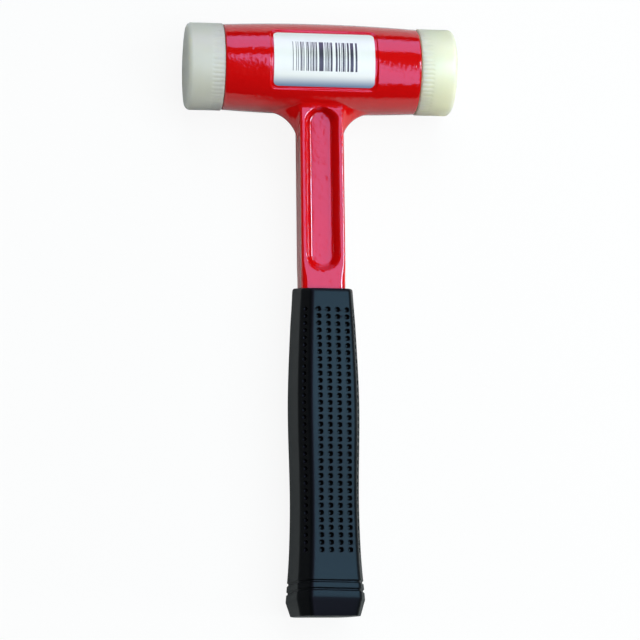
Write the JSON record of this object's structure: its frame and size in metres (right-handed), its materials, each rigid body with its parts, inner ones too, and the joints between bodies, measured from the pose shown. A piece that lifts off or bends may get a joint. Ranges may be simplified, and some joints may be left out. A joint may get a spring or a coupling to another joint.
{
  "type": "dead blow hammer",
  "caption": "Dead blow hammer with a barrel head and shaft cast in one piece, loose steel shot in the bored head, screw-in nylon faces and a dimpled sleeve grip.",
  "frame": {"origin": "middle of the whole hammer's box, on the surface that it lies on", "axes": "+X along the head to the right face, +Y up the handle to the head, +Z out of the front, with the hammer on its back"},
  "size_m": [0.1394, 0.3066, 0.0466],
  "materials": {
    "red_paint": "gloss red paint on a steel casting, with slight orange peel",
    "nylon": "natural milky nylon, turned",
    "black_vinyl": "black soft vinyl with rows of dimples",
    "nitrile": "matt black nitrile",
    "steel": "bright steel"
  },
  "bodies": {
    "hammer_body": {"head_casting": "red_paint", "grip_sleeve": "black_vinyl", "left_core_plug": "steel", "right_core_plug": "steel"},
    "shot_charge": {"shot_ball_01": "steel", "shot_ball_02": "steel", "shot_ball_03": "steel", "shot_ball_04": "steel", "shot_ball_05": "steel", "shot_ball_06": "steel", "shot_ball_07": "steel", "shot_ball_08": "steel", "shot_ball_09": "steel", "shot_ball_10": "steel", "shot_ball_11": "steel", "shot_ball_12": "steel", "shot_ball_13": "steel", "shot_ball_14": "steel", "shot_ball_15": "steel", "shot_ball_16": "steel", "shot_ball_17": "steel", "shot_ball_18": "steel", "shot_ball_19": "steel", "shot_ball_20": "steel", "shot_ball_21": "steel", "shot_ball_22": "steel", "shot_ball_23": "steel", "shot_ball_24": "steel", "shot_ball_25": "steel", "shot_ball_26": "steel", "shot_ball_27": "steel", "shot_ball_28": "steel", "shot_ball_29": "steel", "shot_ball_30": "steel", "shot_ball_31": "steel", "shot_ball_32": "steel", "shot_ball_33": "steel", "shot_ball_34": "steel", "shot_ball_35": "steel"},
    "left_seal": {"left_face_seal": "nitrile"},
    "left_face": {"left_face": "nylon"},
    "right_seal": {"right_face_seal": "nitrile"},
    "right_face": {"right_face": "nylon"}
  },
  "joints": [
    {"name": "shot_run", "type": "slide", "parent": "hammer_body", "child": "shot_charge", "axis": [1, 0, 0], "range_m": [-0.0073, 0.0073]},
    {"name": "left_face_travel", "type": "slide", "parent": "hammer_body", "child": "left_seal", "axis": [-1, 0, 0], "range_m": [0, 0.013]},
    {"name": "left_face_turn", "type": "hinge", "parent": "left_seal", "child": "left_face", "pos_m": [-0.0507, 0.12977, 0.0235], "axis": [-1, 0, 0], "range_deg": [0, 2340]},
    {"name": "right_face_travel", "type": "slide", "parent": "hammer_body", "child": "right_seal", "axis": [1, 0, 0], "range_m": [0, 0.013]},
    {"name": "right_face_turn", "type": "hinge", "parent": "right_seal", "child": "right_face", "pos_m": [0.0507, 0.12977, 0.0235], "axis": [1, 0, 0], "range_deg": [0, 2340]}
  ],
  "couplings": [
    {"joint": "left_face_travel", "follows": "left_face_turn", "m_per_rad": 0.000318},
    {"joint": "right_face_travel", "follows": "right_face_turn", "m_per_rad": 0.000318}
  ]
}
